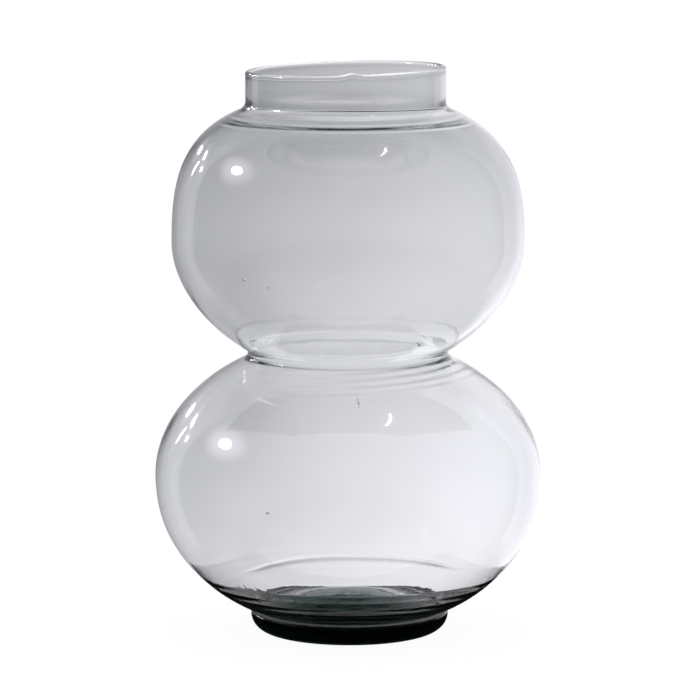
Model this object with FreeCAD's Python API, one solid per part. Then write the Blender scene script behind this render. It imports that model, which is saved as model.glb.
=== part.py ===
import FreeCAD, Part
import math
import os

# A double gourd vase of clear, faintly green glass: a blown body on a solid foot.
# The body is one blown bubble, with a straight neck and a fire-polished lip, a round upper bulb, an
# open waist and a wider lower bulb on a heavy base that is domed inside. The foot is a second gather
# of glass, put on hot.
# Millimetres. +Z is up along the vase's axis, and the origin is the centre of the ring it stands on.

# Heights, stacked from the table up to the rim, 300 in all
foot_height = 11.5
lower_belly_rise = 72.8
lower_shoulder_rise = 64.3
upper_belly_rise = 58.4
upper_shoulder_rise = 71.0
neck_rise = 22.0

# Outside radii of the blown body
base_radius = 49.5
lower_bulb_radius = 102.0
waist_radius = 52.9
upper_bulb_radius = 92.8
neck_radius = 52.6

# Thickness of the glass: thin under the bellies, thicker at the neck and waist, and heavy at the base
neck_wall = 3.2
upper_bulb_wall = 2.5
waist_wall = 4.0
lower_bulb_wall = 2.7

# Inside of the base: a dome over the foot, which meets the wall in a wide round trough
floor_edge_inset = 6.5
floor_edge_thickness = 1.0
floor_dome_rise = 9.0

# Rounding left by the fire and the jacks
lip_swell = 0.25
neck_round = 4.0
inner_neck_round = 8.0
waist_round = 2.8
inner_waist_round = 3.8
floor_round = 23.8

# Foot: a solid pad, widest just under its top edge, on a ground ring round a shallow hollow
foot_radius = 52.2
foot_shoulder_drop = 2.0
foot_ring_outer_radius = 41.5
foot_ring_width = 4.5
foot_hollow_depth = 2.4

# How full each quarter of a bulb is: 2 is an ellipse, more is squarer, less is straighter
lower_bulb_under_fullness = 2.13
inner_under_fullness = 2.28
lower_bulb_shoulder_fullness = 1.97
upper_bulb_under_fullness = 1.85
upper_bulb_shoulder_fullness = 2.78
points_per_quarter = 9

# Levels worked out from the stacked heights
lower_belly_z = foot_height + lower_belly_rise
waist_z = lower_belly_z + lower_shoulder_rise
upper_belly_z = waist_z + upper_belly_rise
neck_z = upper_belly_z + upper_shoulder_rise
rim_z = neck_z + neck_rise
floor_edge_z = foot_height + floor_edge_thickness

# Outlines are drawn in the X-Z plane, away from the axis and up it
outward = FreeCAD.Vector(1, 0, 0)
upward = FreeCAD.Vector(0, 0, 1)


def at(radius, height):
    """A point of an outline."""
    return outward * radius + upward * height


def straight(start, end):
    return Part.LineSegment(start, end).toShape()


def half_height(belly_radius, belly_z, end, fullness):
    """Height over the belly, or under it, at which the whole quarter would close on the axis."""
    return (end.z - belly_z) / (1 - (end.x / belly_radius) ** fullness) ** (1 / fullness)


def quarter(belly_radius, belly_z, end, fullness):
    """Points from the widest ring of a bulb to one of its ends, on a superellipse of that fullness."""
    height = half_height(belly_radius, belly_z, end, fullness)
    last_angle = math.acos((end.x / belly_radius) ** (fullness / 2))
    points = []
    for step in range(points_per_quarter + 1):
        angle = last_angle * step / points_per_quarter
        across = math.cos(angle) ** (2 / fullness)
        up = math.sin(angle) ** (2 / fullness)
        points.append(at(belly_radius * across, belly_z + height * up))
    return points


def heading(belly_radius, belly_z, end, fullness):
    """Direction from a bulb's end back into its wall, along the quarter that ends there."""
    height = half_height(belly_radius, belly_z, end, fullness)
    across = end.x / belly_radius
    up = (end.z - belly_z) / height
    steepness = (height / belly_radius) * (across / up) ** (fullness - 1)
    return (outward - upward * steepness).normalize()


def bulb_edge(belly_radius, belly_z, under, shoulder):
    """One smooth edge up a bulb's wall, from its lower end over the belly to its upper end.

    under and shoulder each hold that end's point, its fullness and its direction into the wall.
    """
    under_end, under_fullness, under_heading = under
    shoulder_end, shoulder_fullness, shoulder_heading = shoulder
    below = quarter(belly_radius, belly_z, under_end, under_fullness)
    above = quarter(belly_radius, belly_z, shoulder_end, shoulder_fullness)
    curve = Part.BSplineCurve()
    curve.interpolate(
        Points=list(reversed(below)) + above[1:],
        InitialTangent=under_heading,
        FinalTangent=shoulder_heading * -1,
    )
    return curve.toShape()


def revolve(edges):
    """The closed outline turned once round the vase's axis."""
    outline = Part.Face(Part.Wire(Part.__sortEdges__(edges)))
    full_turn = 360
    return outline.revolve(at(0, 0), upward, full_turn)


def ring_edge(solid, corner):
    """The circular edge of a turned solid that passes through a corner of its outline."""
    rings = [edge for edge in solid.Edges if edge.isClosed()]
    return min(rings, key=lambda edge: edge.distToShape(Part.Vertex(corner))[0])


def round_corner(solid, corner, radius):
    return solid.makeFillet(radius, [ring_edge(solid, corner)])


# One side of the blown body, its outside or its inside, from the base to the neck: the two bulbs and
# the bend of the waist between them. Each wall is measured in from the outside, at that place.
def bulbs(lower_wall, bend_wall, upper_wall, bend_radius, base_end, base_fullness, neck_end):
    lower_radius = lower_bulb_radius - lower_wall
    upper_radius = upper_bulb_radius - upper_wall
    base_heading = heading(lower_radius, lower_belly_z, base_end, base_fullness)
    neck_heading = heading(upper_radius, upper_belly_z, neck_end, upper_bulb_shoulder_fullness)

    # The bend starts and ends where it points along the walls of the bulbs
    waist = at(waist_radius, waist_z)
    below_waist = heading(lower_bulb_radius, lower_belly_z, waist, lower_bulb_shoulder_fullness)
    above_waist = heading(upper_bulb_radius, upper_belly_z, waist, upper_bulb_under_fullness)
    centre = at(waist_radius - bend_wall + bend_radius, waist_z)
    bend_start = centre + at(below_waist.z, -below_waist.x) * bend_radius
    bend_middle = centre - outward * bend_radius
    bend_end = centre + at(-above_waist.z, above_waist.x) * bend_radius

    lower_bulb = bulb_edge(
        lower_radius,
        lower_belly_z,
        (base_end, base_fullness, base_heading),
        (bend_start, lower_bulb_shoulder_fullness, below_waist),
    )
    upper_bulb = bulb_edge(
        upper_radius,
        upper_belly_z,
        (bend_end, upper_bulb_under_fullness, above_waist),
        (neck_end, upper_bulb_shoulder_fullness, neck_heading),
    )
    return [lower_bulb, Part.Arc(bend_start, bend_middle, bend_end).toShape(), upper_bulb]


# Blown body: the outside is drawn from the base up to the lip, and the inside back down to the domed floor
def blown_body():
    base_edge = at(base_radius, foot_height)
    neck_foot = at(neck_radius, neck_z)
    floor_edge = at(base_radius - floor_edge_inset, floor_edge_z)
    dome_top = at(0, floor_edge_z + floor_dome_rise)
    inner_neck_foot = at(neck_radius - neck_wall, neck_z - upper_bulb_wall)

    # The lip is a rounded bead, a little fatter than the neck's wall and centred on it
    lip_radius = neck_wall / 2 + lip_swell
    lip_start_z = rim_z - lip_radius - math.sqrt(lip_radius**2 - (neck_wall / 2) ** 2)
    lip_outside = at(neck_radius, lip_start_z)
    lip_inside = at(inner_neck_foot.x, lip_start_z)
    lip_top = at(neck_radius - neck_wall / 2, rim_z)

    # The dome is part of a sphere, found from its radius at the edge and its rise
    sphere_radius = (floor_edge.x**2 + floor_dome_rise**2) / (2 * floor_dome_rise)
    half_edge_radius = floor_edge.x / 2
    dome_drop = sphere_radius - math.sqrt(sphere_radius**2 - half_edge_radius**2)
    dome_middle = at(half_edge_radius, dome_top.z - dome_drop)

    outside = bulbs(0, 0, 0, waist_round, base_edge, lower_bulb_under_fullness, neck_foot)
    inside = bulbs(
        lower_bulb_wall,
        waist_wall,
        upper_bulb_wall,
        inner_waist_round,
        floor_edge,
        inner_under_fullness,
        inner_neck_foot,
    )
    rest = [
        straight(at(0, foot_height), base_edge),
        straight(neck_foot, lip_outside),
        Part.Arc(lip_outside, lip_top, lip_inside).toShape(),
        straight(lip_inside, inner_neck_foot),
        Part.Arc(floor_edge, dome_middle, dome_top).toShape(),
        straight(dome_top, at(0, foot_height)),
    ]
    body = revolve(outside + inside + rest)
    body = round_corner(body, neck_foot, neck_round)
    body = round_corner(body, inner_neck_foot, inner_neck_round)
    return round_corner(body, floor_edge, floor_round)


# Foot: its flat top is fused to the body's flat base, and it stands on a ring round a shallow hollow
def foot():
    top_edge = at(base_radius, foot_height)
    widest = at(foot_radius, foot_height - foot_shoulder_drop)
    ring_outside = at(foot_ring_outer_radius, 0)
    ring_inside = at(foot_ring_outer_radius - foot_ring_width, 0)
    hollow_top = at(0, foot_hollow_depth)

    # Middle points of the two rounded edges, and of the hollow, which is part of a sphere
    diagonal_share = math.sqrt(0.5)
    shoulder_middle = at(
        base_radius + (foot_radius - base_radius) * diagonal_share,
        widest.z + foot_shoulder_drop * diagonal_share,
    )
    under_middle = at(
        foot_ring_outer_radius + (foot_radius - foot_ring_outer_radius) * diagonal_share,
        widest.z - widest.z * diagonal_share,
    )
    sphere_radius = (ring_inside.x**2 + foot_hollow_depth**2) / (2 * foot_hollow_depth)
    hollow_half_radius = ring_inside.x / 2
    hollow_drop = sphere_radius - math.sqrt(sphere_radius**2 - hollow_half_radius**2)
    hollow_middle = at(hollow_half_radius, foot_hollow_depth - hollow_drop)

    return revolve(
        [
            straight(at(0, foot_height), top_edge),
            Part.Arc(top_edge, shoulder_middle, widest).toShape(),
            Part.Arc(widest, under_middle, ring_outside).toShape(),
            straight(ring_outside, ring_inside),
            Part.Arc(ring_inside, hollow_middle, hollow_top).toShape(),
            straight(hollow_top, at(0, foot_height)),
        ]
    )


os.makedirs("parts", exist_ok=True)
for name, solid in (("blown_body", blown_body()), ("foot", foot())):
    print(name, "valid", solid.isValid(), "solids", len(solid.Solids), "volume", round(solid.Volume))
    solid.exportStep(f"parts/{name}.step")
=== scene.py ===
import math

import bpy
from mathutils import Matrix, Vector, noise


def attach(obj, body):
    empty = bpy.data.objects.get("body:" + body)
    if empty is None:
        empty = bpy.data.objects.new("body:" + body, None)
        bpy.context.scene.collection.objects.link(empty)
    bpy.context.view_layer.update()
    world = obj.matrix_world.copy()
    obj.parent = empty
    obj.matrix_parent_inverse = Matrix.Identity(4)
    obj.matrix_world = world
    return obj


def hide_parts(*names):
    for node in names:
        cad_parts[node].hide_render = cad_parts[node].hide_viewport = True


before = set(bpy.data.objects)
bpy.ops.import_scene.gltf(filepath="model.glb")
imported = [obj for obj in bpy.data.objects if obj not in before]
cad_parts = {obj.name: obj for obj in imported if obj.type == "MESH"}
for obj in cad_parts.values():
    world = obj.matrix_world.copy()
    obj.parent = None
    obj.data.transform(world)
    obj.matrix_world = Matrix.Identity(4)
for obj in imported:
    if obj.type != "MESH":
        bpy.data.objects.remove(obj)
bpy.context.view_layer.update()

mm = 0.001
degree = math.radians(1)

# Camera: a long lens a little above the rim, tipped down by 8 degrees, as the photograph was taken.
# It stands a millimetre to the right of the vase's axis, which puts the vase just left of the middle.
camera_place = (1.05 * mm, -2306 * mm, 469 * mm)
camera_tip = (90 - 7.882) * degree
sensor_width_in_mm = 36
lens_in_mm = 227.24
bpy.ops.object.camera_add(location=camera_place, rotation=(camera_tip, 0, 0))
camera = bpy.context.object
camera.name = "camera"
camera.data.sensor_width = sensor_width_in_mm
camera.data.lens = lens_in_mm
bpy.context.scene.camera = camera
bpy.context.scene.view_settings.view_transform = "Standard"

# Light passes many walls of glass before it leaves the vase
wall_passes = 32
mirrorings = 16
cycles = bpy.context.scene.cycles
cycles.max_bounces = wall_passes
cycles.transmission_bounces = wall_passes
cycles.glossy_bounces = mirrorings

# Studio: plain white all round for the camera and the floor. What the glass mirrors is a dim room with
# a few lamps, and a sweep of paper behind the vase that ends 57 degrees to each side.
plain_white = "ffffff"
cool_white = "fbf9ff"
dim_room = 0.04

# Brightness of the mirrored paper: from one azimuth to another, in degrees, it goes from one value to
# another. It is pale at its left end, grey further in, bright to the right and dimmer at its right end.
paper_levels = (
    (-53, -42, 0.66, 0.28),
    (-14, 4, 0, 0.7),
    (34, 48, 0, -0.24),
)
paper_left_edge = (-61, -58)
paper_right_edge = (56, 59)
paper_foot = (-36, -26)
paper_top = (30, 50)

# Each lamp is a bright oval core in a soft glow: its azimuth and rise, then its width, height and tilt,
# all in degrees, then the strength of the core and of the glow
lamps = (
    (-86, 31.5, 5.5, 3.6, 0, 40, 4.0),
    (-31, 15, 3.0, 1.6, 0, 25, 0.5),
    (-43.5, 20.5, 3.6, 1.4, 20, 25, 0.5),
    (-43, 12.5, 1.2, 4.0, 0, 25, 0.5),
    (-52, 16, 1.8, 1.6, 0, 25, 0.5),
    (114, 70.5, 6.2, 1.0, -9, 16, 0.6),
)
core_fades = (0.75, 1.1)
glow_fades = (0.8, 4.0)


def linear(hex_colour):
    """The linear colour of an sRGB hex value."""
    shares = [int(hex_colour[i : i + 2], 16) / 255 for i in (0, 2, 4)]
    return [*[s / 12.92 if s <= 0.04045 else ((s + 0.055) / 1.055) ** 2.4 for s in shares], 1]


def add_node(tree, kind, inputs=(), **settings):
    """Adds a node with its settings. Each input is a value, or the node or socket that is linked to it.

    The inputs are given in the node's own order, or as a dictionary by name or number.
    """
    node = tree.nodes.new(kind)
    for name, value in settings.items():
        setattr(node, name, value)
    for name, value in inputs.items() if isinstance(inputs, dict) else enumerate(inputs):
        if isinstance(value, bpy.types.Node):
            value = value.outputs[0]
        if isinstance(value, bpy.types.NodeSocket):
            tree.links.new(value, node.inputs[name])
        else:
            node.inputs[name].default_value = value
    return node


def sum_of_products(tree, *terms):
    """The sum of several terms, each of them the product of its factors."""
    total = 0
    for factors in terms:
        term = factors[0]
        for factor in factors[1:]:
            term = add_node(tree, "ShaderNodeMath", (term, factor), operation="MULTIPLY")
        total = add_node(tree, "ShaderNodeMath", (total, term), operation="ADD")
    return total


def azimuth_of(tree, place):
    """The angle round the upright axis of a direction or place: 0 behind the vase, more to the right."""
    axes = add_node(tree, "ShaderNodeSeparateXYZ", (place,)).outputs
    return add_node(tree, "ShaderNodeMath", (axes["X"], axes["Y"]), operation="ARCTAN2")


smooth = {"interpolation_type": "SMOOTHSTEP"}
world = bpy.data.worlds.new("soft_studio")
bpy.context.scene.world = world
world.use_nodes = True
studio = world.node_tree
studio.nodes.clear()
way = add_node(studio, "ShaderNodeTexCoord").outputs["Generated"]
facing = azimuth_of(studio, way)
way_up = add_node(studio, "ShaderNodeSeparateXYZ", (way,)).outputs["Z"]
rise = add_node(studio, "ShaderNodeMath", (way_up,), operation="ARCSINE")

changes = []
for start, end, before, after in paper_levels:
    change = (facing, start * degree, end * degree, before, after)
    changes.append((add_node(studio, "ShaderNodeMapRange", change, **smooth),))
mirrored = [sum_of_products(studio, *changes)]
for angle, (start, end), before, after in (
    (facing, paper_left_edge, 0, 1),
    (facing, paper_right_edge, 1, 0),
    (rise, paper_foot, 0, 1),
    (rise, paper_top, 1, 0),
):
    edge = (angle, start * degree, end * degree, before, after)
    mirrored.append(add_node(studio, "ShaderNodeMapRange", edge, **smooth))

glows = []
for lamp_azimuth, lamp_rise, width, height, tilt, core, glow in lamps:
    across = add_node(studio, "ShaderNodeMath", (facing, lamp_azimuth * degree), operation="SUBTRACT")
    up = add_node(studio, "ShaderNodeMath", (rise, lamp_rise * degree), operation="SUBTRACT")
    place = add_node(studio, "ShaderNodeCombineXYZ", (across, up))
    turn = {"Vector": place, "Rotation": (0, 0, -tilt * degree)}
    turned = add_node(studio, "ShaderNodeMapping", turn)
    width_there = width * degree / math.cos(lamp_rise * degree)
    stretch = {"Vector": turned, "Scale": (1 / width_there, 1 / (height * degree), 1)}
    sized = add_node(studio, "ShaderNodeMapping", stretch)
    far = add_node(studio, "ShaderNodeVectorMath", (sized,), operation="LENGTH").outputs["Value"]
    glows.append((add_node(studio, "ShaderNodeMapRange", (far, *core_fades, core, 0), **smooth),))
    glows.append((add_node(studio, "ShaderNodeMapRange", (far, *glow_fades, glow, 0), **smooth),))

room_light = sum_of_products(studio, mirrored, (dim_room,), *glows)
room = add_node(studio, "ShaderNodeBackground", (linear(cool_white), room_light))
white = add_node(studio, "ShaderNodeBackground", (linear(plain_white), 1))
mirror_ray = add_node(studio, "ShaderNodeLightPath").outputs["Is Glossy Ray"]
mixed = add_node(studio, "ShaderNodeMixShader", (mirror_ray, white, room))
add_node(studio, "ShaderNodeOutputWorld", (mixed,))

# Light tent: the paper that shows through the glass, close round the vase. Its glow is painted light in
# place of studio lamps falling on the paper: a faint lavender white, greyed by painted shade, darker to the
# left and above, lighter to the right and below. Only the glass sees it.
tent_radius = 550 * mm
side_span = (-22 * degree, 22 * degree)
side_levels = (0.53, 1.06)
settled_span = (30 * degree, 60 * degree)
settled_side = 0.5
fade_span = (-150 * mm, 450 * mm)
fade_levels = (1.36, 0.40)
overhead_span = (360 * mm, 430 * mm)
overhead_level = 0.12
patch_edge = (-9 * degree, -3 * degree)
patch_foot = (-20 * mm, 30 * mm)
patch_top = (100 * mm, 170 * mm)
patch_painted_shade = 0.10

bpy.ops.mesh.primitive_uv_sphere_add(segments=64, ring_count=32, radius=tent_radius, location=(0, 0, 0))
tent = bpy.context.object
tent.name = "light_tent"
tent_painted_light = bpy.data.materials.new("painted_light_paper")
tent_painted_light.use_nodes = True
sheet = tent_painted_light.node_tree
sheet.nodes.clear()
spot = add_node(sheet, "ShaderNodeTexCoord").outputs["Object"]
spot_height = add_node(sheet, "ShaderNodeSeparateXYZ", (spot,)).outputs["Z"]
spot_azimuth = azimuth_of(sheet, spot)
spot_turned = add_node(sheet, "ShaderNodeMath", (spot_azimuth,), operation="ABSOLUTE")

# Painted light and shade: from left to right it grows lighter, and round the sides and the front it settles
# half way
to_right = add_node(sheet, "ShaderNodeMapRange", (spot_azimuth, *side_span, 0, 1), **smooth)
settled = add_node(sheet, "ShaderNodeMapRange", (spot_turned, *settled_span, 0, 1), **smooth)
side_inputs = {0: settled, 2: to_right, 3: settled_side}
side = add_node(sheet, "ShaderNodeMix", side_inputs, data_type="FLOAT")
level = add_node(sheet, "ShaderNodeMapRange", (side, 0, 1, *side_levels))
down = add_node(sheet, "ShaderNodeMapRange", (spot_height, *fade_span, *fade_levels))
overhead = add_node(
    sheet, "ShaderNodeMapRange", (spot_height, *overhead_span, 1, overhead_level), **smooth
)

# Low on the left it has a slightly darker patch of painted shade
patch_side = add_node(sheet, "ShaderNodeMapRange", (spot_azimuth, *patch_edge, 1, 0), **smooth)
patch_low = add_node(sheet, "ShaderNodeMapRange", (spot_height, *patch_foot, 0, 1), **smooth)
patch_high = add_node(sheet, "ShaderNodeMapRange", (spot_height, *patch_top, 1, 0), **smooth)
painted_shade_factor = sum_of_products(sheet, (1,), (patch_side, patch_low, patch_high, -patch_painted_shade))
tent_strength = sum_of_products(sheet, (level, down, painted_shade_factor, overhead))
tent_glow = add_node(sheet, "ShaderNodeEmission", (linear(cool_white), tent_strength))
add_node(sheet, "ShaderNodeOutputMaterial", (tent_glow,))
tent.data.materials.append(tent_painted_light)
tent.visible_camera = False
tent.visible_diffuse = False
tent.visible_glossy = False
tent.visible_shadow = False

# Floor: a plain white sweep that takes the vase's faintest shadow. Only the camera sees it, and it lies
# just under the ring that the vase stands on.
floor_width = 30
floor_gap = 0.6 * mm
floor_glow = 0.95
shadow_grey = "4b4b4b"
bpy.ops.mesh.primitive_plane_add(size=floor_width, location=(0, 0, -floor_gap))
floor = bpy.context.object
floor.name = "floor"
floor_paint = bpy.data.materials.new("white_paper")
floor_paint.use_nodes = True
paper = floor_paint.node_tree
paper.nodes.clear()
even_glow = add_node(paper, "ShaderNodeEmission", (linear(plain_white), floor_glow))
matt = add_node(paper, "ShaderNodeBsdfDiffuse", (linear(shadow_grey),))
both = add_node(paper, "ShaderNodeAddShader", (even_glow, matt))
add_node(paper, "ShaderNodeOutputMaterial", (both,))
floor.data.materials.append(floor_paint)
floor.visible_transmission = False
floor.visible_glossy = False
floor.visible_diffuse = False

# Table: the small dark stand that the glass shows at its base, a sheet of painted shade that darkens the
# base and the foot as seen through the glass. Only the glass sees it. It gives its own even, dim light, so
# that it stays plain in every view.
table_width = 230 * mm
table_front = -105 * mm
table_back = 77 * mm
table_gap = 0.3 * mm
stand_shade_black = "14160f"
table_middle = (table_front + table_back) / 2
bpy.ops.mesh.primitive_plane_add(size=1, location=(0, table_middle, -table_gap))
table = bpy.context.object
table.name = "dark_stand"
table.scale = (table_width, table_back - table_front, 1)
stand_shade = bpy.data.materials.new("dark_stand_painted_shade")
stand_shade.use_nodes = True
stand_shade.node_tree.nodes.clear()
stand_shade_glow = add_node(stand_shade.node_tree, "ShaderNodeEmission", (linear(stand_shade_black), 1))
add_node(stand_shade.node_tree, "ShaderNodeOutputMaterial", (stand_shade_glow,))
table.data.materials.append(stand_shade)
table.visible_camera = False
table.visible_diffuse = False
table.visible_shadow = False

# Blown body: one bubble of clear glass with a faint grey-green cast, blown and turned at the pipe's end.
# It is drawn as half of its outline, point by point, and spun round the axis like a turned pot. Pairs
# are a radius and a height.
foot_height = 11.5 * mm
lower_belly = (102.0 * mm, 84.3 * mm)
waist = (52.9 * mm, 148.6 * mm)
upper_belly = (92.8 * mm, 207.0 * mm)
neck_foot = (52.6 * mm, 278.0 * mm)
rim_height = 300 * mm
base_radius = 49.5 * mm
neck_wall = 3.2 * mm
upper_wall = 2.5 * mm
waist_wall = 4.0 * mm
lower_wall = 2.7 * mm
lip_swell = 0.25 * mm
neck_round = 5.0 * mm
inner_neck_round = 12.0 * mm
waist_round = 2.8 * mm
inner_waist_round = 3.8 * mm
floor_edge = Vector((43.0 * mm, 12.5 * mm))
floor_dome_rise = 9.0 * mm
floor_round = 23.8 * mm

# How full each quarter of a bulb is: 2 is an ellipse, more is squarer, less is straighter
under_fullness = 2.13
inner_under_fullness = 2.28
shoulder_fullness = 1.97
upper_under_fullness = 1.85
upper_shoulder_fullness = 2.78

# How many pieces each part of the outline is drawn in, and how many sides the spun body has
quarter_pieces = 14
heading_pieces = 200
bend_pieces = 8
neck_pieces = 8
lip_pieces = 4
dome_pieces = 12
trough_pieces = 16
body_sides = 116

# The pole stays open by this radius until the last step, which fills it with one small face
pole_radius = 1 * mm


def quarter(belly, end, fullness, count):
    """Outline points from the widest ring of a bulb to one of its ends, on a superellipse."""
    belly_radius, belly_height = belly
    end_radius, end_height = end
    height = (end_height - belly_height) / (1 - (end_radius / belly_radius) ** fullness) ** (1 / fullness)
    last = math.acos((end_radius / belly_radius) ** (fullness / 2))
    points = []
    for step in range(count + 1):
        angle = last * step / count
        radius = belly_radius * math.cos(angle) ** (2 / fullness)
        points.append(Vector((radius, belly_height + height * math.sin(angle) ** (2 / fullness))))
    return points


def heading(belly, end, fullness):
    """The direction from a bulb's end back into its wall."""
    points = quarter(belly, end, fullness, heading_pieces)
    return (points[-2] - points[-1]).normalized()


def arc(centre, start, end, count):
    """Points on the short arc about centre, from start to end."""
    first = math.atan2(start.y - centre.y, start.x - centre.x)
    sweep_angle = math.atan2(end.y - centre.y, end.x - centre.x) - first
    sweep_angle = (sweep_angle + math.pi) % (2 * math.pi) - math.pi
    radius = (start - centre).length
    points = []
    for step in range(count + 1):
        angle = first + sweep_angle * step / count
        points.append(centre + Vector((math.cos(angle), math.sin(angle))) * radius)
    return points


def rounded(before, after, radius, count):
    """Joins two outlines that meet in a corner, with the corner rounded to that radius."""
    cleared = 1.15
    corner = before[-1]
    back = (before[-2] - corner).normalized()
    on = (after[1] - corner).normalized()
    half = back.angle(on) / 2
    reach = radius / math.tan(half)
    centre = corner + (back + on).normalized() * (radius / math.sin(half))
    kept_before = [p for p in before if (p - corner).length > reach * cleared]
    kept_after = [p for p in after if (p - corner).length > reach * cleared]
    return kept_before + arc(centre, corner + back * reach, corner + on * reach, count) + kept_after


def straight(start, end, count):
    """Points on a straight line."""
    return [start.lerp(end, step / count) for step in range(count + 1)]


def bulbs(walls, bend_radius, base_end, base_fullness, neck_end):
    """One side of the body from the base to the neck: two bulbs and the bend of the waist between.

    walls is how far this side is inside the outer one at the lower bulb, the waist and the upper bulb.
    """
    at_lower, at_waist, at_upper = walls
    lower = (lower_belly[0] - at_lower, lower_belly[1])
    upper = (upper_belly[0] - at_upper, upper_belly[1])
    below = heading(lower_belly, waist, shoulder_fullness)
    above = heading(upper_belly, waist, upper_under_fullness)
    centre = Vector(waist) + Vector((bend_radius - at_waist, 0))
    bend_start = centre + Vector((below.y, -below.x)) * bend_radius
    bend_end = centre + Vector((-above.y, above.x)) * bend_radius
    lower_side = quarter(lower, base_end, base_fullness, quarter_pieces)[::-1]
    lower_side += quarter(lower, bend_start, shoulder_fullness, quarter_pieces)[1:]
    upper_side = quarter(upper, bend_end, upper_under_fullness, quarter_pieces)[::-1]
    upper_side += quarter(upper, neck_end, upper_shoulder_fullness, quarter_pieces)[1:]
    return lower_side + arc(centre, bend_start, bend_end, bend_pieces)[1:-1] + upper_side


inner_neck_foot = Vector((neck_foot[0] - neck_wall, neck_foot[1] - upper_wall))
lip_radius = neck_wall / 2 + lip_swell
lip_centre = Vector((neck_foot[0] - neck_wall / 2, rim_height - lip_radius))
lip_top = Vector((lip_centre.x, rim_height))
lip_start = rim_height - lip_radius - math.sqrt(lip_radius**2 - (neck_wall / 2) ** 2)
lip_outside = Vector((neck_foot[0], lip_start))
lip_inside = Vector((inner_neck_foot.x, lip_start))

base_edge = Vector((base_radius, foot_height))
outside = bulbs((0, 0, 0), waist_round, base_edge, under_fullness, neck_foot)
outer_neck = straight(Vector(neck_foot), lip_outside, neck_pieces)
outside = rounded(outside, outer_neck, neck_round, bend_pieces)
lip = arc(lip_centre, lip_outside, lip_top, lip_pieces)[1:-1]
lip += arc(lip_centre, lip_top, lip_inside, lip_pieces)[:-1]
inner_walls = (lower_wall, waist_wall, upper_wall)
inside = bulbs(inner_walls, inner_waist_round, floor_edge, inner_under_fullness, inner_neck_foot)
inner_neck = straight(lip_inside, inner_neck_foot, neck_pieces)
inside = rounded(inner_neck, inside[::-1], inner_neck_round, bend_pieces)
dome_radius = (floor_edge.x**2 + floor_dome_rise**2) / (2 * floor_dome_rise)
dome_top = Vector((0, floor_edge.y + floor_dome_rise))
dome_centre = dome_top - Vector((0, dome_radius))
floor_line = arc(dome_centre, floor_edge, dome_top, dome_pieces)[:-1] + [Vector((pole_radius, dome_top.y))]
inside = rounded(inside, floor_line, floor_round, trough_pieces)

# A fold at the back of the base, inside: a low ridge on a ring, drawn further in to the left than to the
# right. It is a guess at what gives the pale line that crosses the lower bulb near its base.
fold_radius = 73.2 * mm
fold_height = 1.2 * mm
fold_width = 1.3 * mm
fold_eases_in = (34 * mm, 56 * mm)
fold_drawn_in_left = 4.8 * mm
fold_drawn_in_right = 2.4 * mm
fold_half_span = 51 * mm
fold_widest_share = 1.3
base_zone_top = foot_height + 30 * mm
fold_zone_radius = fold_radius - 2 * mm
fold_zone_reach = 7 * mm
fold_pieces = 8


def finer(points):
    """Adds points to the lower end of an outline where the fold crosses it."""
    fine = []
    for here, after in zip(points, points[1:]):
        in_reach = abs((here.x + after.x) / 2 - fold_zone_radius) < fold_zone_reach
        near = in_reach and here.y < base_zone_top
        fine += straight(here, after, fold_pieces if near else 1)[:-1]
    fine.append(points[-1])
    return fine


inside = finer(inside)
base_shares = (0.5, 0.97)
base_line = [Vector((pole_radius, foot_height))]
base_line += [Vector((base_radius * share, foot_height)) for share in base_shares]


def spun(name, outline, sides):
    """A closed solid: the outline is drawn vertex by vertex and spun once round the upright axis."""
    bpy.ops.object.select_all(action="DESELECT")
    start = outline[0]
    bpy.ops.mesh.primitive_plane_add(size=mm, location=(start.x, 0, start.y))
    piece = bpy.context.object
    piece.name = name
    bpy.ops.object.transform_apply(location=True, rotation=False, scale=False)
    bpy.ops.object.mode_set(mode="EDIT")
    bpy.ops.mesh.select_all(action="SELECT")
    bpy.ops.mesh.merge(type="CENTER")
    for last, point in zip(outline, outline[1:]):
        step = (point.x - last.x, 0, point.y - last.y)
        bpy.ops.mesh.extrude_region_move(TRANSFORM_OT_translate={"value": step})
    bpy.ops.mesh.select_all(action="SELECT")
    bpy.ops.mesh.spin(steps=sides, angle=2 * math.pi, center=(0, 0, 0), axis=(0, 0, 1))
    bpy.ops.mesh.select_all(action="SELECT")
    bpy.ops.mesh.remove_doubles(threshold=0.01 * mm)
    bpy.ops.mesh.normals_make_consistent(inside=False)
    bpy.ops.object.mode_set(mode="OBJECT")
    smoother = piece.modifiers.new("smooth", "SUBSURF")
    smoother.levels = 1
    smoother.render_levels = 1
    bpy.ops.object.modifier_apply(modifier=smoother.name)
    bpy.ops.object.mode_set(mode="EDIT")
    bpy.ops.mesh.select_all(action="SELECT")
    bpy.ops.mesh.fill_holes(sides=0)
    bpy.ops.mesh.select_all(action="SELECT")
    bpy.ops.mesh.normals_make_consistent(inside=False)
    bpy.ops.object.mode_set(mode="OBJECT")
    bpy.ops.object.shade_smooth()
    return piece


body = spun("blown_body_glass", base_line + outside + lip + inside, body_sides)

# The maker's hand on the form. The wall is never quite even: it has slow waves and finer upright cords.
wave_scale = 22
wave_depth = 0.10 * mm
cord_scale = Vector((60, 60, 9))
cord_depth = 0.03 * mm
inner_shift = Vector((3.1, 1.7, 5.9))
wall_free_from = (foot_height + 3 * mm, foot_height + 12 * mm)

# The vase leans a little to the right at its foot and to the left at its neck
foot_lean = 0.8 * mm
foot_lean_fades = (foot_height + 3 * mm, foot_height + 50 * mm)
neck_lean = 1.2 * mm
neck_lean_grows = (upper_belly[1] + 20 * mm, neck_foot[1] + 5 * mm)

# The inner bend of the neck stands a little higher at the back, a guess from how its lines run
bend_rise = 1.4 * mm
bend_rise_grows = (0, 25 * mm)
bend_rise_across = 6 * mm
bend_rise_width = 20 * mm
bend_rise_height = 277 * mm
bend_rise_reach = 6 * mm

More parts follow.
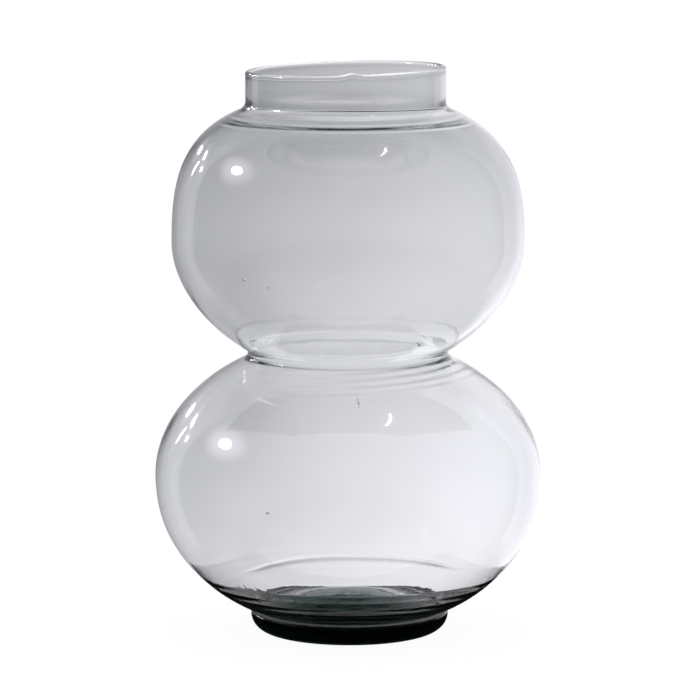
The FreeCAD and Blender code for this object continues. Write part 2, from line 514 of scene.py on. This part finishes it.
# The rim slopes down to the left, and has a small bump in front
rim_drop = 1.4 * mm
rim_drop_grows = (neck_foot[1] + 3 * mm, rim_height - 4 * mm)
bump_rise = 1.2 * mm
bump_across = 3.5 * mm
bump_width = 4 * mm
bump_grows = (rim_height - 7 * mm, rim_height - 1 * mm)


def eased(value, low, high):
    """A smooth change from 0 to 1 as a value goes from low to high."""
    share = min(max((value - low) / (high - low), 0), 1)
    return share * share * (3 - 2 * share)


def hump(value, middle, width):
    """A smooth hump of height 1 round the middle."""
    return math.exp(-(((value - middle) / width) ** 2))


def lean(height):
    """How far the vase leans to the right at a height."""
    return foot_lean * (1 - eased(height, *foot_lean_fades)) - neck_lean * eased(height, *neck_lean_grows)


normals = [vertex.normal.copy() for vertex in body.data.vertices]
for vertex, normal in zip(body.data.vertices, normals):
    place = vertex.co.copy()
    faces_out = place.x * normal.x + place.y * normal.y > 0
    shift = Vector((0, 0, 0)) if faces_out else inner_shift
    waves = noise.noise(place * wave_scale + shift)
    cords = noise.noise(place * cord_scale + shift)
    held = eased(place.z, *wall_free_from)
    vertex.co = vertex.co + normal * held * (wave_depth * waves + cord_depth * cords)
    if not faces_out:
        radius = Vector((place.x, place.y)).length
        drawn_in = fold_drawn_in_left if place.x < 0 else fold_drawn_in_right
        drawn_in *= min(abs(place.x) / fold_half_span, fold_widest_share) ** 2
        fold = hump(radius + drawn_in, fold_radius, fold_width) * eased(place.y, *fold_eases_in)
        vertex.co = vertex.co + normal * fold * fold_height * (place.z < base_zone_top)
        raised = eased(place.y, *bend_rise_grows) * hump(place.x, bend_rise_across, bend_rise_width)
        vertex.co.z += bend_rise * raised * hump(place.z, bend_rise_height, bend_rise_reach)
    tilt = eased(place.z, *rim_drop_grows)
    vertex.co.z -= tilt * rim_drop * (1 - place.x / neck_foot[0])
    bump = hump(place.x, bump_across, bump_width) if place.y < 0 else 0
    vertex.co.z += eased(place.z, *bump_grows) * bump * bump_rise
    vertex.co.x += lean(place.z)


def glass(name, absorbed, density, marks, roughness):
    """Soda-lime glass, clear and fire-polished, with its cast from the iron in it and its maker's marks.

    marks and roughness are functions that take the node tree and a place on the piece: marks gives the
    height of the surface over its smooth form in millimetres, and roughness is None where all is polished.
    """
    soda_glass_ior = 1.5
    material = bpy.data.materials.new(name)
    material.use_nodes = True
    tree = material.node_tree
    tree.nodes.clear()
    place = add_node(tree, "ShaderNodeTexCoord").outputs["Object"]
    relief = add_node(tree, "ShaderNodeBump", {"Height": marks(tree, place), "Distance": mm, "Strength": 1})
    skin_inputs = {
        "Base Color": linear(plain_white),
        "Roughness": roughness(tree, place) if roughness else 0,
        "IOR": soda_glass_ior,
        "Transmission Weight": 1,
        "Normal": relief,
    }
    skin = add_node(tree, "ShaderNodeBsdfPrincipled", skin_inputs)
    cast = add_node(tree, "ShaderNodeVolumeAbsorption", {"Color": linear(absorbed), "Density": density})
    add_node(tree, "ShaderNodeOutputMaterial", {"Surface": skin, "Volume": cast})
    return material


# Marks in the body's skin, with heights in millimetres. The slow waves are about 33 mm long, and the
# upright cords about 4 mm wide and very faint.
skin_wave_scale = 30
skin_wave_height = 0.12
skin_cord_scale = 260
skin_cord_stretch = 0.06
skin_cord_height = 0.012

# Spin rings under the waist, tipped down to the left, and clearest in front and to the right
ring_spacing = 2.9 * mm
ring_height = 0.05
ring_tip_span = (-55 * mm, 55 * mm)
ring_tip = (-2.4 * mm, 2.4 * mm)
rings_start = (133 * mm, 138 * mm)
rings_end = (143.5 * mm, 145.5 * mm)
front_fades = (-35 * mm, 10 * mm)
right_grows = (-60 * mm, 40 * mm)
left_share = 0.15

# A groove under the neck and a ragged ridge on the inner floor, both guesses at what bends the light there
groove_level = 271.0 * mm
groove_reach = 1.1 * mm
groove_depth = 0.25
ridge_place = 5.5 * mm
ridge_wander = 7 * mm
ridge_wander_scale = 220
ridge_reach = 2.2 * mm
ridge_height = 0.4
ridge_ends_fade = (24 * mm, 34 * mm)
ridge_stays_under = (24 * mm, 27 * mm)

# Seeds, the small bubbles in the wall: across, height, half width and half length, in millimetres
seeds = (
    (5.2, 132.3, 0.8, 2.4),
    (-52.3, 196.0, 0.7, 0.7),
    (-39.5, 193.0, 0.7, 0.7),
    (-40.6, 78.6, 0.8, 0.8),
    (36.0, 161.0, 0.8, 0.8),
)
seed_height = 0.35


def blown_marks(tree, place):
    """The marks of blowing: waves, cords, spin rings, the groove, the ridge and the seeds."""
    x, y, z = add_node(tree, "ShaderNodeSeparateXYZ", (place,)).outputs
    wave_inputs = {"Vector": place, "Scale": skin_wave_scale, "Detail": 1}
    waves = add_node(tree, "ShaderNodeTexNoise", wave_inputs).outputs["Fac"]
    stretch = {"Vector": place, "Scale": (1, 1, skin_cord_stretch)}
    drawn_out = add_node(tree, "ShaderNodeMapping", stretch)
    cord_inputs = {"Vector": drawn_out, "Scale": skin_cord_scale, "Detail": 1}
    cords = add_node(tree, "ShaderNodeTexNoise", cord_inputs).outputs["Fac"]

    tipped = add_node(tree, "ShaderNodeMapRange", (x, *ring_tip_span, *ring_tip))
    level = add_node(tree, "ShaderNodeMath", (z, tipped), operation="SUBTRACT")
    turns = add_node(tree, "ShaderNodeMath", (level, 2 * math.pi / ring_spacing), operation="MULTIPLY")
    rings = add_node(tree, "ShaderNodeMath", (turns,), operation="SINE")
    above = add_node(tree, "ShaderNodeMapRange", (level, *rings_start, 0, 1), **smooth)
    below = add_node(tree, "ShaderNodeMapRange", (level, *rings_end, 1, 0), **smooth)
    front = add_node(tree, "ShaderNodeMapRange", (y, *front_fades, 1, 0), **smooth)
    right = add_node(tree, "ShaderNodeMapRange", (x, *right_grows, left_share, 1), **smooth)

    off_groove = add_node(tree, "ShaderNodeMath", (z, groove_level), operation="SUBTRACT")
    groove_far = add_node(tree, "ShaderNodeMath", (off_groove,), operation="ABSOLUTE")
    groove = add_node(tree, "ShaderNodeMapRange", (groove_far, 0, groove_reach, 1, 0), **smooth)

    rough_inputs = {"Vector": place, "Scale": ridge_wander_scale, "Detail": 3}
    rough = add_node(tree, "ShaderNodeTexNoise", rough_inputs).outputs["Fac"]
    off_ridge = sum_of_products(tree, (y,), (ridge_place,), (rough, ridge_wander))
    ridge_far = add_node(tree, "ShaderNodeMath", (off_ridge,), operation="ABSOLUTE")
    ridge = add_node(tree, "ShaderNodeMapRange", (ridge_far, 0, ridge_reach, 1, 0), **smooth)
    out_across = add_node(tree, "ShaderNodeMath", (x,), operation="ABSOLUTE")
    ridge_ends = add_node(tree, "ShaderNodeMapRange", (out_across, *ridge_ends_fade, 1, 0), **smooth)
    ridge_low = add_node(tree, "ShaderNodeMapRange", (z, *ridge_stays_under, 1, 0), **smooth)

    reliefs = [
        (waves, skin_wave_height),
        (cords, skin_cord_height),
        (rings, above, below, front, right, ring_height),
        (groove, front, -groove_depth),
        (ridge, ridge_ends, ridge_low, ridge_height),
    ]
    for seed_across, seed_up, half_width, half_length in seeds:
        offset = (-seed_across * mm, 0, -seed_up * mm)
        shifted = add_node(tree, "ShaderNodeVectorMath", (place, offset), operation="ADD")
        squeeze = {"Vector": shifted, "Scale": (1 / (half_width * mm), 0, 1 / (half_length * mm))}
        sized = add_node(tree, "ShaderNodeMapping", squeeze)
        far = add_node(tree, "ShaderNodeVectorMath", (sized,), operation="LENGTH").outputs["Value"]
        swelling = add_node(tree, "ShaderNodeMapRange", (far, 0, 1, seed_height, 0), **smooth)
        reliefs.append((swelling, front))
    return sum_of_products(tree, *reliefs)


# Blown soda-lime glass, polished by the fire. It gives the eye sharp mirrored lights on a clear wall, a
# faint grey-green cast where it is seen edge-on, and lines where the wall isn't even.
body_cast = "009089"
body_density = 16
body_glass = glass("blown_soda_glass", body_cast, body_density, blown_marks, None)
body.data.materials.append(body_glass)
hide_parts("blown_body")
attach(body, "root")

# Foot: a second gather of the same glass, put on hot under the body and flattened. Its thick edge looks
# almost black from the side, by its thick glass and by the painted shade of the dark stand seen through it.
# It stands on a ring round a shallow hollow.
foot_sunk = 0.3 * mm
foot_radius = 52.2 * mm
foot_shoulder_drop = 2.0 * mm
shoulder_squareness = 3.4
ring_outer = 41.5 * mm
ring_width = 4.5 * mm
hollow_depth = 2.4 * mm
top_shares = (0.5, 0.95, 0.985)
shoulder_pieces = 9
under_pieces = 12
hollow_pieces = 8
foot_sides = 128

foot_top = foot_height + foot_sunk
widest = Vector((foot_radius, foot_height - foot_shoulder_drop))
ring_outside = Vector((ring_outer, 0))
ring_inside = Vector((ring_outer - ring_width, 0))
sphere_radius = (ring_inside.x**2 + hollow_depth**2) / (2 * hollow_depth)
sphere_centre = Vector((0, hollow_depth - sphere_radius))
foot_outline = [Vector((pole_radius, foot_top))]
foot_outline += [Vector((base_radius * share, foot_top)) for share in top_shares]
for step in range(1, shoulder_pieces):
    angle = math.pi / 2 * step / shoulder_pieces
    out_share = math.sin(angle) ** (2 / shoulder_squareness)
    up_share = math.cos(angle) ** (2 / shoulder_squareness)
    out = base_radius + (foot_radius - base_radius) * out_share
    foot_outline.append(Vector((out, widest.y + foot_shoulder_drop * up_share)))
for step in range(under_pieces + 1):
    angle = math.pi / 2 * step / under_pieces
    out = ring_outer + (foot_radius - ring_outer) * math.cos(angle)
    foot_outline.append(Vector((out, widest.y * (1 - math.sin(angle)))))
foot_outline += [ring_outside.lerp(ring_inside, 0.5)]
foot_outline += arc(sphere_centre, ring_inside, Vector((0, hollow_depth)), hollow_pieces)[:-1]
foot_outline += [Vector((pole_radius, hollow_depth))]

foot = spun("foot_glass", foot_outline, foot_sides)

# A ragged scar in the hollow, the usual mark of the iron that held the foot. It is a guess, as the
# underside can't be seen.
scar_depth = 0.35 * mm
scar_fades = (24 * mm, 34 * mm)
scar_scale = 160
fine_scar_scale = 420
for vertex in foot.data.vertices:
    place = vertex.co.copy()
    scar = 1 - eased(Vector((place.x, place.y)).length, *scar_fades)
    if place.z < foot_height / 2:
        ragged = noise.noise(place * scar_scale) + noise.noise(place * fine_scar_scale) / 2
        vertex.co.z += scar * scar_depth * ragged
    vertex.co.x += lean(place.z)

# Faint waves in the thick glass, about 17 mm long, and the scratches of the grinding, 0.4 mm apart, on
# the ring that it stands on. Heights are in millimetres.
gather_wave_scale = 60
gather_wave_height = 0.10
grit_scale = 2500
grit_height = 0.03
grit_fades = (0.2 * mm, 0.8 * mm)
ground_roughness = 0.45
ground_fades = (0.1 * mm, 0.5 * mm)


def gathered_marks(tree, place):
    """Faint waves in the thick glass, and the scratches of the ground ring under it."""
    height = add_node(tree, "ShaderNodeSeparateXYZ", (place,)).outputs["Z"]
    wave_inputs = {"Vector": place, "Scale": gather_wave_scale, "Detail": 2}
    waves = add_node(tree, "ShaderNodeTexNoise", wave_inputs).outputs["Fac"]
    grit_inputs = {"Vector": place, "Scale": grit_scale, "Detail": 2}
    grit = add_node(tree, "ShaderNodeTexNoise", grit_inputs).outputs["Fac"]
    under = add_node(tree, "ShaderNodeMapRange", (height, *grit_fades, 1, 0), **smooth)
    return sum_of_products(tree, (waves, gather_wave_height), (grit, under, grit_height))


def ground_ring(tree, place):
    """The ring that the foot stands on is ground flat, so it is matt."""
    height = add_node(tree, "ShaderNodeSeparateXYZ", (place,)).outputs["Z"]
    return add_node(tree, "ShaderNodeMapRange", (height, *ground_fades, ground_roughness, 0), **smooth)


# The same soda-lime glass, gathered thick. It gives the eye a nearly black edge, by its own thickness and
# by the painted shade of the dark stand seen through it, with a sea-green light where a thin way through it
# is seen, and a matt ring under it.
foot_cast = "00998b"
foot_density = 95
foot_glass = glass("gathered_soda_glass", foot_cast, foot_density, gathered_marks, ground_ring)
foot.data.materials.append(foot_glass)
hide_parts("foot")
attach(foot, "root")
